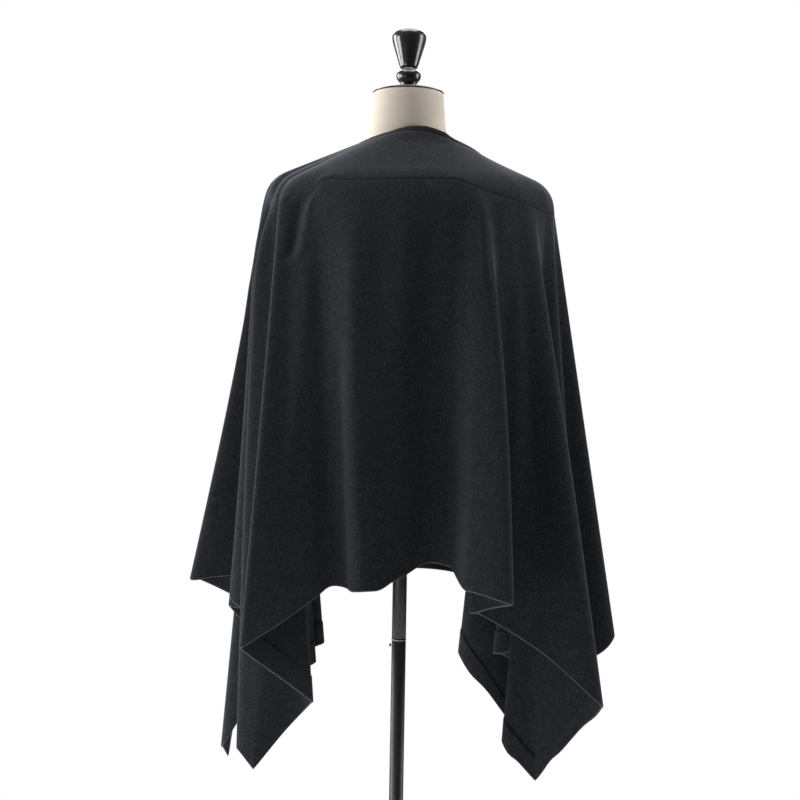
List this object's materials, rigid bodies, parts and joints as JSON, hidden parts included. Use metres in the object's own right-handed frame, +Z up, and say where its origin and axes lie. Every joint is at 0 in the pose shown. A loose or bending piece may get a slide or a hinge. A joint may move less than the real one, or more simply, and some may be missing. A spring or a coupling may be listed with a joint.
{
  "type": "poncho sweater on a limbless dress form",
  "caption": "Wide draped poncho in brushed wool with a back yoke, bound neck and four hanging hem corners, worn by a limbless dress form on a pole with a round base.",
  "frame": {"origin": "centre of the base's underside, on the pole's axis", "axes": "+Z up, +Y the way the wearer faces, +X the wearer's right"},
  "size_m": [0.675, 0.4156, 1.588],
  "materials": {
    "wool": "brushed felted wool",
    "binding": "brushed felted wool, bound edge",
    "form_cloth": "stretched beige jersey",
    "cap_brown": "dark brown paint",
    "lacquer": "gloss black lacquer",
    "satin_black": "satin black paint",
    "bare_metal": "brushed"
  },
  "bodies": {
    "root": {"back_yoke": "wool", "back_panel": "wool", "front_panel": "wool", "neck_binding": "binding", "form_torso": "form_cloth", "form_neck_cap": "cap_brown", "form_socket": "cap_brown", "finial_collar": "lacquer", "finial": "lacquer", "stand_base": "satin_black", "pole_lower": "satin_black", "pole_upper": "satin_black", "pole_ring": "bare_metal", "pole_pin": "bare_metal"}
  },
  "joints": []
}
